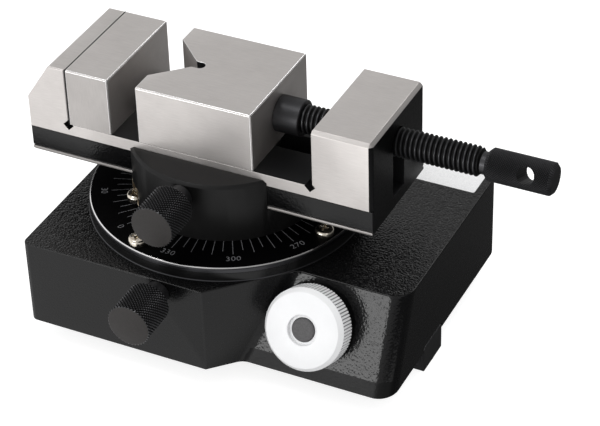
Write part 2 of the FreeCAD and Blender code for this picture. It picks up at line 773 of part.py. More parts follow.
pieces = {
    "base": make_base(),
    "bottom_cover": make_cover(),
    "cover_screws": make_cover_screws(),
    "stage_key": make_key(),
    "key_screws": make_key_screws(),
    "spindle_bush": make_spindle_bush(),
    "turntable": make_turntable(),
    "thrust_collar": make_collar_ring(),
    "collar_grub_screws": make_grub_screws(),
    "snap_ring": make_snap_ring(),
    "dial": make_dial(),
    "dial_screws": make_table_screws(dial_screw_circle, dial_screw_angle, dial_screw_count, dial_top,
                                     pan_length),
    "hub": make_hub(),
    "hub_screws": make_table_screws(hub_screw_circle, hub_screw_angle, hub_screw_count, dial_top + hub_lip,
                                    pan_length + hub_lip),
    "hub_bolt": cap_screw(V(0, 0, bolt_seat_z), Z * -1, bolt_r, bolt_length, bolt_head_r, bolt_head_h,
                          bolt_socket_r),
    "hub_clamp_screw": make_thumbscrew(hub_seat_y, hub_tip, hub_clamp_z),
    "hub_clamp_pad": make_pad(hub_pad_y, hub_pad_length, hub_clamp_z),
    "base_lock_screw": make_thumbscrew(base_seat_y, base_tip, base_lock_z),
    "base_lock_pad": make_pad(base_pad_y, base_pad_length, base_lock_z),
    "vise_bed": make_bed(),
    "jaw_plate": make_plate(),
    "jaw_plate_screws": make_plate_screws(),
    "moving_jaw": make_jaw(),
    "jaw_guide": make_guide(),
    "jaw_guide_screws": make_guide_screws(),
    "nose_pin": make_pin(),
    "lead_screw": make_lead_screw(),
    "tangent_arm": make_arm(),
    "feed_bush": make_feed_bush(),
    "feed_screw": make_feed_screw(),
    "feed_knob": make_knob(),
    "feed_ball": make_ball(),
    "return_plunger": make_plunger(),
    "plunger_housing": make_plunger_house(),
}

os.makedirs("parts", exist_ok=True)
for name, shape in pieces.items():
    shape.exportStep("parts/" + name + ".step")
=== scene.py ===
"""Looks of the rotary vise: pieces, finishes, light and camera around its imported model. Metres, +Z up."""
import math

import bmesh
import bpy
from bpy.props import FloatProperty, FloatVectorProperty, IntProperty, PointerProperty
from mathutils import Matrix, Vector


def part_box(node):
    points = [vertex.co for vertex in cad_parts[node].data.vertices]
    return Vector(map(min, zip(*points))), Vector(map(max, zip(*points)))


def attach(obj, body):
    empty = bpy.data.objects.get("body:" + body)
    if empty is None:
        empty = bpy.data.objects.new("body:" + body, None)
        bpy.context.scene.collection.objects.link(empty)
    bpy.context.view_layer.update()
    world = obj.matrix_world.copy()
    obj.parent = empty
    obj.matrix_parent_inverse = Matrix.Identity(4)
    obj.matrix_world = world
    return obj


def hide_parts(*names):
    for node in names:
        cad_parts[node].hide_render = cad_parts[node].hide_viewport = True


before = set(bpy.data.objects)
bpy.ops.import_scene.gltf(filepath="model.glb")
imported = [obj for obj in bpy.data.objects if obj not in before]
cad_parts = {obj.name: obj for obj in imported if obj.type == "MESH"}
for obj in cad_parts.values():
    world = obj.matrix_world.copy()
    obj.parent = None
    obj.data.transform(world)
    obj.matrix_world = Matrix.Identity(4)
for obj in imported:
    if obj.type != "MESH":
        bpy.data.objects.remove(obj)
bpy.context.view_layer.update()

bl_info = {
    "name": "Rotary vise looks",
    "version": (1, 0, 0),
    "blender": (4, 5, 0),
    "location": "3D View > Sidebar > Vise",
    "description": "Builds the visible pieces and finishes of a rotary vise around its packed model",
    "category": "Object",
}

MM = 0.001
FULL_TURN = 2.0 * math.pi

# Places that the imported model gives.
BED_LOW, BED_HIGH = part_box("vise_bed")
DIAL_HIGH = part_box("dial")[1]
BASE_LOW, BASE_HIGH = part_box("base")
HUB_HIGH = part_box("hub")[1]
PLATE_LOW, PLATE_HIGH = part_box("jaw_plate")
JAW_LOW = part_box("moving_jaw")[0]
SCREW_LOW, SCREW_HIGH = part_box("lead_screw")
RAIL_Z = PLATE_LOW.z
SCREW_Z = (SCREW_LOW.z + SCREW_HIGH.z) / 2

# The feed knob's line: how far it tilts, its direction, and its point on the base's panel.
PANEL_TILT = math.radians(23.5)
FEED_AXIS = Vector((0.0, math.cos(PANEL_TILT), -math.sin(PANEL_TILT)))
FEED_FOOT = Vector((58.8, -51.2 + 21.9 * math.tan(PANEL_TILT), 31.4)) * MM

ORIGIN = (0.0, 0.0, 0.0)
WHITE = (1.0, 1.0, 1.0, 1.0)
FINE_ROUND = 0.08 * MM  # edges of the dial and the pan screws
FINE_CREASE = 24.0  # degrees from which an edge of a knurled piece stays sharp
NOISE_SPAN = (0.3, 0.7)  # most of a noise texture's values lie in it
RIDGE = "ridge"  # vertex attribute: 0 in a knurl's or thread's valley to 1 on its crest
PLAIN_RIDGE = 0.62  # its value on plain turned parts


# -------- sizes and colours

class ViseSizes(bpy.types.PropertyGroup):
    """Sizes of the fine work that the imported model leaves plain."""
    edge_round: FloatProperty(
        name="Edge rounding", description="Width of the small rounding on machined edges",
        default=0.2 * MM, unit="LENGTH", precision=6)
    jaw_round: FloatProperty(
        name="Jaw edges", description="Width of the polished rounding on the jaws' edges",
        default=0.14 * MM, unit="LENGTH", precision=6)
    paint_round: FloatProperty(
        name="Casting edge", description="Width of the rounding on the painted casting's edges",
        default=0.5 * MM, unit="LENGTH", precision=6)
    thread_pitch: FloatProperty(
        name="Thread pitch", description="Advance of the vise screw in one turn",
        default=2.0 * MM, unit="LENGTH", precision=6)
    thread_depth: FloatProperty(
        name="Thread depth", description="Depth of the vise screw's thread",
        default=0.95 * MM, unit="LENGTH", precision=6)
    thumb_knurls: IntProperty(
        name="Thumbscrew knurls", description="Diamonds round a thumbscrew's head", default=38, min=12)
    handle_knurls: IntProperty(
        name="Handle knurls", description="Diamonds round the screw's handle", default=40, min=12)
    knob_serrations: IntProperty(
        name="Knob serrations", description="Straight grooves round the feed knob", default=80, min=12)
    knurl_depth: FloatProperty(
        name="Knurl depth", description="Depth of the thumbscrews' diamond knurl",
        default=0.58 * MM, unit="LENGTH", precision=6)
    mark_width: FloatProperty(
        name="Graduation width", description="Width of the dial's lines",
        default=0.22 * MM, unit="LENGTH", precision=6)
    figure_height: FloatProperty(
        name="Figure height", description="Height of the dial's figures",
        default=2.9 * MM, unit="LENGTH", precision=6)


class ViseColours(bpy.types.PropertyGroup):
    """Colours of the vise's finishes."""
    paint: FloatVectorProperty(
        name="Casting paint", description="Black hammer finish of the base", subtype="COLOR",
        default=(0.0036, 0.0036, 0.0039), min=0.0, max=1.0)
    hub: FloatVectorProperty(
        name="Hub black", description="Satin black of the hub", subtype="COLOR",
        default=(0.0058, 0.0057, 0.0058), min=0.0, max=1.0)
    steel: FloatVectorProperty(
        name="Ground steel", description="Bare ground steel of the vise", subtype="COLOR",
        default=(0.70, 0.668, 0.648), min=0.0, max=1.0)
    oxide: FloatVectorProperty(
        name="Black oxide", description="Blackened steel of the screws", subtype="COLOR",
        default=(0.0075, 0.0075, 0.008), min=0.0, max=1.0)
    dial: FloatVectorProperty(
        name="Dial black", description="Black of the scale disc", subtype="COLOR",
        default=(0.0009, 0.0009, 0.0011), min=0.0, max=1.0)
    marks: FloatVectorProperty(
        name="Graduations", description="White of the dial's lines and figures", subtype="COLOR",
        default=(0.15, 0.152, 0.16), min=0.0, max=1.0)
    knob: FloatVectorProperty(
        name="Knob white", description="Satin white of the feed knob", subtype="COLOR",
        default=(0.90, 0.905, 0.915), min=0.0, max=1.0)
    nickel: FloatVectorProperty(
        name="Nickel", description="Plating of the pan screws", subtype="COLOR",
        default=(0.80, 0.74, 0.64), min=0.0, max=1.0)


def sizes():
    return bpy.context.scene.vise_sizes


def colours():
    return bpy.context.scene.vise_colours


# -------- shader groups

def assign(target, **values):
    """Sets several of one thing's attributes."""
    for name, value in values.items():
        setattr(target, name, value)


def add_node(tree, kind, inputs=None, **settings):
    """Adds a node; its inputs are values or the sockets that feed them."""
    made = tree.nodes.new(kind)
    assign(made, **settings)
    for name, value in (inputs or {}).items():
        if isinstance(value, bpy.types.NodeSocket):
            tree.links.new(value, made.inputs[name])
        else:
            made.inputs[name].default_value = value
    return made


def maths(tree, operation, a, b=0.0):
    return add_node(tree, "ShaderNodeMath", {0: a, 1: b}, operation=operation).outputs[0]


def remap(tree, value, low, high, to_low, to_high):
    return add_node(tree, "ShaderNodeMapRange", {
        "Value": value, "From Min": low, "From Max": high,
        "To Min": to_low, "To Max": to_high}).outputs[0]


def new_group(name, inputs, outputs):
    """Starts a shader node group with named float inputs and outputs."""
    old = bpy.data.node_groups.get(name)
    if old is not None:
        return old, None, None
    group = bpy.data.node_groups.new(name, "ShaderNodeTree")
    for label, default in inputs:
        group.interface.new_socket(label, in_out="INPUT", socket_type="NodeSocketFloat").default_value = default
    for label in outputs:
        group.interface.new_socket(label, in_out="OUTPUT", socket_type="NodeSocketFloat")
    return group, group.nodes.new("NodeGroupInput"), group.nodes.new("NodeGroupOutput")


def noise(tree, place, scale, detail, roughness):
    return add_node(tree, "ShaderNodeTexNoise", {
        "Vector": place, "Scale": scale, "Detail": detail, "Roughness": roughness})


def vector_maths(tree, operation, a, b):
    return add_node(tree, "ShaderNodeVectorMath", {0: a, 1: b}, operation=operation)


def object_place(tree):
    return add_node(tree, "ShaderNodeTexCoord").outputs["Object"]


def three_inputs(group, ins, label):
    """Vector of the X, Y and Z inputs that a group has under one label."""
    return add_node(group, "ShaderNodeCombineXYZ", {
        axis: ins.outputs[label + " " + axis] for axis in "XYZ"}).outputs[0]


def hammer_group():
    """Hammer paint: soft blobs with pits between them, and a mask of the blobs."""
    group, ins, outs = new_group("vise hammer paint", [("Scale", 620.0), ("Grit", 2600.0)], ["Height", "Mask"])
    if ins is None:
        return group
    place = object_place(group)
    warp = noise(group, place, 260.0, 2.0, 0.5)
    moved = vector_maths(group, "MULTIPLY", warp.outputs["Color"], (0.0016, 0.0016, 0.0016))
    point = vector_maths(group, "ADD", place, moved.outputs[0]).outputs[0]
    cells = add_node(group, "ShaderNodeTexVoronoi", {
        "Vector": point, "Scale": ins.outputs["Scale"], "Smoothness": 0.65}, feature="SMOOTH_F1")
    blob = remap(group, cells.outputs["Distance"], 0.1, 0.75, 1.0, 0.0)
    fine = noise(group, point, ins.outputs["Grit"], 2.0, 0.55)
    height = maths(group, "ADD", blob, maths(group, "MULTIPLY", fine.outputs["Fac"], 0.35))
    group.links.new(height, outs.inputs["Height"])
    group.links.new(blob, outs.inputs["Mask"])
    return group


def grind_group():
    """Surface grinding: noise stretched into long fine lines along X, Y or Z, and slow tone changes."""
    group, ins, outs = new_group(
        "vise ground lines", [("Along X", 40.0), ("Along Y", 5200.0), ("Along Z", 5200.0)], ["Height", "Tone"])
    if ins is None:
        return group
    place = object_place(group)
    point = vector_maths(group, "MULTIPLY", place, three_inputs(group, ins, "Along")).outputs[0]
    lines = noise(group, point, 1.0, 3.0, 0.6)
    slow = noise(group, place, 55.0, 4.0, 0.6)
    tone = maths(group, "ADD", maths(group, "MULTIPLY", lines.outputs["Fac"], 0.5),
                 maths(group, "MULTIPLY", slow.outputs["Fac"], 0.5))
    group.links.new(lines.outputs["Fac"], outs.inputs["Height"])
    group.links.new(tone, outs.inputs["Tone"])
    return group


def speck_group():
    """Fine specks and faint cloudiness, for small changes of colour and sheen."""
    group, ins, outs = new_group("vise specks", [("Scale", 900.0), ("Cloud", 60.0)], ["Specks", "Cloud"])
    if ins is None:
        return group
    place = object_place(group)
    grain = noise(group, place, ins.outputs["Scale"], 3.0, 0.7)
    cloud = noise(group, place, ins.outputs["Cloud"], 3.0, 0.55)
    group.links.new(remap(group, grain.outputs["Fac"], 0.35, 0.75, 0.0, 1.0), outs.inputs["Specks"])
    group.links.new(cloud.outputs["Fac"], outs.inputs["Cloud"])
    return group


def turned_group():
    """Fine ring-shaped tool marks by the distance from a centre."""
    group, ins, outs = new_group(
        "vise tool marks", [("Centre X", 0.0), ("Centre Y", 0.0), ("Centre Z", 0.0), ("Pitch", 9000.0)], ["Height"])
    if ins is None:
        return group
    away = vector_maths(group, "DISTANCE", object_place(group), three_inputs(group, ins, "Centre"))
    rings = add_node(group, "ShaderNodeTexNoise", {
        "W": maths(group, "MULTIPLY", away.outputs["Value"], ins.outputs["Pitch"]), "Scale": 1.0, "Detail": 2.0},
        noise_dimensions="1D")
    group.links.new(rings.outputs["Fac"], outs.inputs["Height"])
    return group


def use_group(tree, group, **values):
    """Places a group in a material with its own values; a tuple goes to the label's X, Y and Z."""
    made = tree.nodes.new("ShaderNodeGroup")
    made.node_tree = group
    for label, value in values.items():
        if isinstance(value, tuple):
            for axis, part in zip("XYZ", value):
                made.inputs[label + " " + axis].default_value = part
        else:
            made.inputs[label].default_value = value
    return made


# -------- finishes

def start_material(name, **shader):
    """A new material, its node tree and its Principled shader with its plain values set."""
    material = bpy.data.materials.new("vise " + name)
    material.use_nodes = True
    tree = material.node_tree
    principled = tree.nodes["Principled BSDF"]
    for label, value in shader.items():
        principled.inputs[label.replace("_", " ")].default_value = value
    return material, tree, principled


def tint(tree, principled, mask, dark, light):
    """Base colour between two tones by a mask."""
    mix = add_node(tree, "ShaderNodeMix", {"Factor": mask}, data_type="RGBA")
    mix.inputs["A"].default_value = (*dark, 1.0)
    mix.inputs["B"].default_value = (*light, 1.0)
    tree.links.new(mix.outputs["Result"], principled.inputs["Base Color"])


def sheen(tree, principled, value, start, end, span=NOISE_SPAN):
    """Roughness from start to end while a value goes through a span."""
    tree.links.new(remap(tree, value, *span, start, end), principled.inputs["Roughness"])


def bump(tree, principled, height, strength, distance):
    made = add_node(tree, "ShaderNodeBump", {"Height": height, "Strength": strength, "Distance": distance})
    tree.links.new(made.outputs["Normal"], principled.inputs["Normal"])


def ridge_height(tree, specks, low, high):
    """The ridge attribute, made a little uneven by the clouds of a speck group: the mask of the painted shade in
    valleys and grooves.
    """
    ridge = add_node(tree, "ShaderNodeAttribute", attribute_name=RIDGE).outputs["Fac"]
    return maths(tree, "ADD", ridge, remap(tree, specks.outputs["Cloud"], *NOISE_SPAN, low, high))


def scaled(colour, factor):
    return tuple(min(1.0, c * factor) for c in colour)


def paint_finish(name, colour, scale, strength, rough, gloss):
    """Black hammer paint, glossiest on its blobs."""
    material, tree, principled = start_material(name, Metallic=0.0, IOR=1.45, Specular_IOR_Level=gloss)
    paint = use_group(tree, hammer_group(), Scale=scale)
    specks = use_group(tree, speck_group(), Scale=1400.0, Cloud=45.0)
    tint(tree, principled, specks.outputs["Specks"], scaled(colour, 0.8), scaled(colour, 1.25))
    sheen(tree, principled, paint.outputs["Mask"], rough[1], rough[0], span=(0.0, 1.0))
    bump(tree, principled, paint.outputs["Height"], strength, 0.16 * MM)
    return material


def steel_finish(name, colour, along=(170.0, 3600.0, 3600.0), rough=(0.42, 0.58), strength=0.5):
    """Surface-ground steel with its lines along one direction."""
    material, tree, principled = start_material(name, Metallic=1.0)
    lines = use_group(tree, grind_group(), Along=along)
    tint(tree, principled, remap(tree, lines.outputs["Tone"], *NOISE_SPAN, 0.0, 1.0),
         scaled(colour, 0.90), scaled(colour, 1.07))
    sheen(tree, principled, lines.outputs["Tone"], rough[1], rough[0])
    bump(tree, principled, lines.outputs["Height"], strength, 0.01 * MM)
    return material


def satin_finish(name, colour, rough, metallic=0.0, strength=0.15, grain=2400.0, gloss=0.5):
    """Even satin or blackened surface with a fine grain."""
    material, tree, principled = start_material(name, Metallic=metallic, IOR=1.5, Specular_IOR_Level=gloss)
    specks = use_group(tree, speck_group(), Scale=grain, Cloud=70.0)
    tint(tree, principled, specks.outputs["Specks"], scaled(colour, 0.82), scaled(colour, 1.22))
    sheen(tree, principled, specks.outputs["Cloud"], *rough)
    bump(tree, principled, specks.outputs["Specks"], strength, 0.02 * MM)
    return material


def turned_finish(name, colour, rough, centre=ORIGIN):
    """Bright turned surface with fine tool marks about a centre."""
    material, tree, principled = start_material(name, Metallic=1.0, IOR=1.5)
    marks = use_group(tree, turned_group(), Centre=centre)
    specks = use_group(tree, speck_group(), Scale=1800.0, Cloud=80.0)
    tint(tree, principled, specks.outputs["Cloud"], scaled(colour, 0.92), scaled(colour, 1.06))
    sheen(tree, principled, marks.outputs["Height"], *rough)
    bump(tree, principled, marks.outputs["Height"], 0.15, 0.01 * MM)
    return material


def ridged_finish(name, colour, dark):
    """Blackened steel with painted shade: dark in the valleys of a knurl or thread and greyer on its ridges."""
    material, tree, principled = start_material(name, Metallic=0.75)
    specks = use_group(tree, speck_group(), Scale=2400.0, Cloud=70.0)
    height = ridge_height(tree, specks, -0.08, 0.08)
    # painted shade: the valleys take the dark colour, the crests the grey one
    tint(tree, principled, remap(tree, height, 0.3, 1.0, 0.0, 1.0), dark, colour)
    sheen(tree, principled, height, 0.5, 0.34, span=(0.2, 1.0))
    bump(tree, principled, specks.outputs["Specks"], 0.15, 0.02 * MM)
    return material


def knob_finish(name, colour, dark):
    """Satin plastic with painted shade, greyer in the rim's grooves."""
    material, tree, principled = start_material(name, IOR=1.45)
    marks = use_group(tree, turned_group(), Centre=tuple(FEED_FOOT - FEED_AXIS * 14.0 * MM), Pitch=5200.0)
    specks = use_group(tree, speck_group(), Scale=1800.0, Cloud=80.0)
    # painted shade: the grooves take the dark grey
    tint(tree, principled, ridge_height(tree, specks, -0.06, 0.0), dark, colour)
    sheen(tree, principled, marks.outputs["Height"], 0.34, 0.44)
    bump(tree, principled, marks.outputs["Height"], 0.08, 0.01 * MM)
    return material


def floor_finish(name, colour, dark):
    """Even pale floor. Mirrors show it dark, a painted shade, but for a zone in front of the vise and one behind
    it, which glow for them as painted reflections of lit floor.
    """
    material, tree, principled = start_material(name, Roughness=0.9, Specular_IOR_Level=0.0)
    path = add_node(tree, "ShaderNodeLightPath")
    parts = add_node(tree, "ShaderNodeSeparateXYZ", {0: object_place(tree)})
    x, y = parts.outputs["X"], parts.outputs["Y"]
    mirror = maths(tree, "MAXIMUM", path.outputs["Is Glossy Ray"], path.outputs["Is Transmission Ray"])
    front = maths(tree, "MULTIPLY", remap(tree, y, -0.07, -0.05, 1.0, 0.0), remap(tree, x, 0.14, 0.26, 1.0, 0.0))
    back = maths(tree, "MULTIPLY", remap(tree, y, 0.10, 0.125, 0.0, 1.0),
                 maths(tree, "MULTIPLY", remap(tree, x, 0.085, 0.105, 1.0, 0.0),
                       remap(tree, x, -0.01, 0.03, 0.0, 1.0)))
    # painted reflection: glow that only mirrors see, in the two zones
    painted_mirror_glow = maths(tree, "ADD", maths(tree, "MULTIPLY", front, 0.94), maths(tree, "MULTIPLY", back, 0.42))
    # painted shade: mirrors see the floor in its dark colour
    tint(tree, principled, mirror, colour, dark)
    shine = maths(tree, "ADD", maths(tree, "MULTIPLY", path.outputs["Is Camera Ray"], 0.80),
                  maths(tree, "MULTIPLY", mirror, maths(tree, "ADD", painted_mirror_glow, 0.03)))
    glow = add_node(tree, "ShaderNodeEmission", {"Color": WHITE, "Strength": shine})
    both = add_node(tree, "ShaderNodeAddShader", {0: principled.outputs[0], 1: glow.outputs[0]})
    tree.links.new(both.outputs[0], tree.nodes["Material Output"].inputs["Surface"])
    return material


# Each finish's maker, its colour and its settings. A colour is a value, or a ViseColours name with a factor.
FINISHES = {
    "base paint": (paint_finish, ("paint", 1.0), dict(scale=1150.0, strength=1.0, rough=(0.15, 0.28), gloss=0.42)),
    "panel paint": (paint_finish, ("paint", 1.0), dict(scale=1000.0, strength=0.3, rough=(0.1, 0.16), gloss=0.37)),
    "foot paint": (paint_finish, ("paint", 1.0), dict(scale=1500.0, strength=0.12, rough=(0.3, 0.38), gloss=0.2)),
    "paint edges": (paint_finish, ("paint", 1.0), dict(scale=1500.0, strength=0.1, rough=(0.2, 0.28), gloss=0.4)),
    "wall paint": (paint_finish, ("paint", 1.0), dict(scale=1500.0, strength=0.12, rough=(0.2, 0.28), gloss=0.34)),
    "strip paint": (paint_finish, ("paint", 0.9), dict(scale=1300.0, strength=0.3, rough=(0.14, 0.24), gloss=0.42)),
    "end paint": (paint_finish, ("paint", 0.8), dict(scale=1300.0, strength=0.15, rough=(0.3, 0.4), gloss=0.25)),
    "ground steel": (steel_finish, ("steel", 1.0), {}),
    "upright-ground steel": (steel_finish, ("steel", 0.75), dict(along=(3600.0, 3600.0, 170.0))),
    # ground steel at half its colour: painted shade along the bed's foot
    "foot steel": (steel_finish, ("steel", 0.5), {}),
    # near-white, brighter than the ground steel: polished edge roundings with a painted highlight
    "steel edges": (steel_finish, (0.97, 0.96, 0.95), dict(rough=(0.2, 0.3), strength=0.02)),
    "key steel": (steel_finish, (0.16, 0.16, 0.165), dict(rough=(0.32, 0.48), strength=0.25)),
    # bright metal on the dial chamfer's top only: a painted highlight line
    "rim metal": (turned_finish, (0.85, 0.84, 0.84), dict(rough=(0.1, 0.16), centre=(0.0, 0.0, DIAL_HIGH.z))),
    "dial side": (turned_finish, (0.06, 0.06, 0.064), dict(rough=(0.3, 0.42))),
    "bare notch": (turned_finish, (0.62, 0.56, 0.48), dict(rough=(0.22, 0.34))),
    # its dark colour is painted shade in the valleys of knurls and threads
    "ridged oxide": (ridged_finish, (0.082, 0.082, 0.087), dict(dark=(0.003, 0.003, 0.0033))),
    # its dark colour is painted shade in the rim's grooves
    "knob white": (knob_finish, ("knob", 1.0), dict(dark=(0.16, 0.163, 0.172))),
    "black oxide": (satin_finish, ("oxide", 1.0), dict(rough=(0.22, 0.34))),
    "hub black": (satin_finish, ("hub", 1.0), dict(rough=(0.34, 0.44), strength=0.1, gloss=0.26)),
    "dial black": (satin_finish, ("dial", 1.0), dict(rough=(0.42, 0.52), strength=0.08, grain=3200.0, gloss=0.03)),
    "turntable edge": (satin_finish, (0.004, 0.004, 0.0042), dict(rough=(0.26, 0.36), strength=0.08, gloss=0.3)),
    "thumbscrew face": (satin_finish, (0.027, 0.0245, 0.0235),
                        dict(rough=(0.5, 0.6), strength=0.25, grain=1800.0, gloss=0.3)),
    "groove black": (satin_finish, (0.008, 0.008, 0.0085), dict(rough=(0.4, 0.5), gloss=0.2)),
    "nickel": (satin_finish, ("nickel", 1.0), dict(rough=(0.1, 0.2), metallic=1.0, strength=0.05)),
    "plain steel": (satin_finish, (0.42, 0.42, 0.425), dict(rough=(0.28, 0.4), metallic=1.0, strength=0.12)),
    "shaft end": (satin_finish, (0.105, 0.103, 0.105),
                  dict(rough=(0.5, 0.62), strength=0.3, grain=1500.0, gloss=0.2)),
    "graduation white": (satin_finish, ("marks", 1.0), dict(rough=(0.45, 0.55), strength=0.05)),
    "sticker white": (satin_finish, (0.93, 0.935, 0.945), dict(rough=(0.4, 0.5), strength=0.05)),
    "brass": (satin_finish, (0.72, 0.53, 0.25), dict(rough=(0.22, 0.34), metallic=1.0, strength=0.08)),
    "bronze": (satin_finish, (0.60, 0.38, 0.20), dict(rough=(0.26, 0.38), metallic=1.0, strength=0.08)),
    "cover plate": (satin_finish, (0.05, 0.05, 0.053), dict(rough=(0.4, 0.52), strength=0.25, grain=1600.0)),
    # its dark colour is what mirrors see: painted shade
    "floor": (floor_finish, (0.5, 0.5, 0.5), dict(dark=(0.05, 0.05, 0.05))),
}


def finish(name):
    """The material of a named finish, made on the first call."""
    old = bpy.data.materials.get("vise " + name)
    if old is not None:
        return old
    maker, colour, settings = FINISHES[name]
    if isinstance(colour[0], str):
        colour = scaled(getattr(colours(), colour[0]), colour[1])
    return maker(name, colour, **settings)


# -------- mesh helpers

def to_mesh(name, bm):
    """Writes a bmesh into a new mesh and frees it."""
    mesh = bpy.data.meshes.new(name)
    bm.to_mesh(mesh)
    bm.free()
    return mesh


def add_object(name, data):
    """Adds an object with its data to the scene."""
    obj = bpy.data.objects.new(name, data)
    bpy.context.scene.collection.objects.link(obj)
    return obj


def finish_piece(name, bm, body, finishes, replaced=(), crease=40.0):
    """Makes a bmesh into a piece that rides on a body and stands for CAD nodes."""
    mesh = to_mesh(name, bm)
    for label in finishes:
        mesh.materials.append(finish(label))
    piece = add_object(name, mesh)
    mesh.shade_smooth()
    mesh.set_sharp_from_angle(angle=math.radians(crease))
    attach(piece, body)
    if replaced:
        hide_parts(*replaced)
    return piece


def split(bm, place, normal, clear=False):
    """Cuts a bmesh along a plane, and clears what lies ahead of it where asked."""
    bmesh.ops.bisect_plane(bm, geom=bm.verts[:] + bm.edges[:] + bm.faces[:], dist=1e-8,
                           plane_co=place, plane_no=normal, clear_outer=clear)


def node_copy(node):
    """Copy of a CAD node's mesh with its triangles joined into flat faces."""
    bm = bmesh.new()
    bm.from_mesh(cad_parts[node].data)
    bmesh.ops.remove_doubles(bm, verts=bm.verts, dist=0.002 * MM)
    bmesh.ops.dissolve_limit(bm, angle_limit=math.radians(0.5), use_dissolve_boundaries=False,
                             verts=bm.verts, edges=bm.edges, delimit={"NORMAL"})
    return bm


def dress(node, name, body, finishes, width, pick=None, segments=2, level=None, edge=-1):
    """Copy of a CAD node with rounded edges; pick gives each face, split at a level, its finish's number."""
    bm = node_copy(node)
    if level is not None:
        split(bm, (0.0, 0.0, level), (0.0, 0.0, 1.0))
    if pick is not None:
        for face in bm.faces:
            face.material_index = pick(face.calc_center_median(), face.normal)
    piece = finish_piece(name, bm, body, finishes, (node,))
    assign(piece.modifiers.new("edge rounding", "BEVEL"), width=width, segments=segments, material=edge,
           limit_method="ANGLE", angle_limit=math.radians(28.0), use_clamp_overlap=False,
           harden_normals=True, miter_outer="MITER_ARC")


def repaint(label, *nodes):
    """Gives CAD nodes that stay a named finish."""
    material = finish(label)
    for node in nodes:
        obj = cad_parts[node]
        if not obj.data.materials:
            obj.data.materials.append(material)
        for slot in obj.material_slots:
            slot.link = "OBJECT"
            slot.material = material


def spun(points, steps, turns=1, advance=0.0):
    """Outline of (distance, radius) points spun about X, with an advance at each step for a screw."""
    bm = bmesh.new()
    verts = [bm.verts.new((x, 0.0, r)) for x, r in points]
    edges = [bm.edges.new(pair) for pair in zip(verts, verts[1:])]
    bmesh.ops.spin(bm, geom=verts + edges, cent=ORIGIN, axis=(1.0, 0.0, 0.0), dvec=(advance, 0.0, 0.0),
                   angle=FULL_TURN * turns, steps=steps * turns, use_merge=not advance)
    return bm


def lathe(profile, steps):
    """Turned shape about X from (distance, radius) points."""
    bm = spun(profile, steps)
    bmesh.ops.remove_doubles(bm, verts=bm.verts, dist=0.0005 * MM)
    bmesh.ops.recalc_face_normals(bm, faces=bm.faces)
    return bm


def aim(bm, axis, at):
    """Turns a shape's +X to an axis and moves its origin to a point."""
    turn = Vector(axis).to_track_quat("X", "Z").to_matrix().to_4x4()
    bmesh.ops.transform(bm, matrix=Matrix.Translation(at) @ turn, verts=bm.verts)


def off_axis(vert):
    return math.hypot(vert.co.y, vert.co.z)


def turn_share(vert):
    """Share of a turn about X at which a vertex stands."""
    return math.atan2(vert.co.z, vert.co.y) / FULL_TURN


def push(vert, depth):
    """Moves a vertex of a piece about X towards the axis."""
    radius = off_axis(vert)
    factor = (radius - depth) / radius
    vert.co.y *= factor
    vert.co.z *= factor


def spread(start, stop, count):
    return [start + (stop - start) * k / count for k in range(count + 1)]


def knurl(bm, start, stop, rows, count, radius, depth):
    """Diamond knurl on a spun band of rows: every other point goes in, and faces fold along the grooves."""
    low = set()
    for vert in bm.verts:
        row = (vert.co.x - start) / (stop - start) * rows
        if row < -0.01 or row > rows + 0.01 or off_axis(vert) < radius * 0.98:
            continue
        step = round(turn_share(vert) * count * 2 - count * 0.5)
        if (round(row) + step) % 2 == 0:
            low.add(vert)
    for face in list(bm.faces):
        pair = [vert for vert in face.verts if vert in low]
        if len(face.verts) == 4 and len(pair) == 2:
            bmesh.utils.face_split(face, pair[0], pair[1])
    for vert in low:
        push(vert, depth)


def mark_ridges(bm, start=math.inf, stop=math.inf, crest=1.0, depth=1.0, ahead=PLAIN_RIDGE):
    """Writes the ridge attribute: by height from valley to crest in a band, plain outside it and without one."""
    layer = bm.verts.layers.float.get(RIDGE) or bm.verts.layers.float.new(RIDGE)
    for vert in bm.verts:
        if start - 1e-6 < vert.co.x < stop + 1e-6:
            height = (off_axis(vert) - crest + depth) / depth
            vert[layer] = min(1.0, max(0.0, height))
        else:
            vert[layer] = ahead if vert.co.x < start else PLAIN_RIDGE


def serrate(bm, start, stop, count, radius, depth):
    """Straight V grooves along a spun band with four steps to a groove, written in the ridge attribute too."""
    layer = bm.verts.layers.float.new(RIDGE)
    for vert in bm.verts:
        vert[layer] = 1.0
        if start - 1e-7 < vert.co.x < stop + 1e-7 and off_axis(vert) > radius * 0.95:
            if round(turn_share(vert) * count * 4) % 4 == 0:
                push(vert, depth)
                vert[layer] = 0.0


def join(target, other):
    """Adds one bmesh to another and frees it."""
    mesh = to_mesh("join", other)
    target.from_mesh(mesh)
    bpy.data.meshes.remove(mesh)


def carve(body, cutter):
    """Body less cutter, by an exact boolean."""
    whole = add_object("carve body", to_mesh("carve body", body))
    tool = add_object("carve cutter", to_mesh("carve cutter", cutter))
    assign(whole.modifiers.new("cut", "BOOLEAN"), operation="DIFFERENCE", solver="EXACT", object=tool)
    result = bmesh.new()
    result.from_object(whole, bpy.context.evaluated_depsgraph_get())
    for obj in (whole, tool):
        mesh = obj.data
        bpy.data.objects.remove(obj)
        bpy.data.meshes.remove(mesh)
    return result


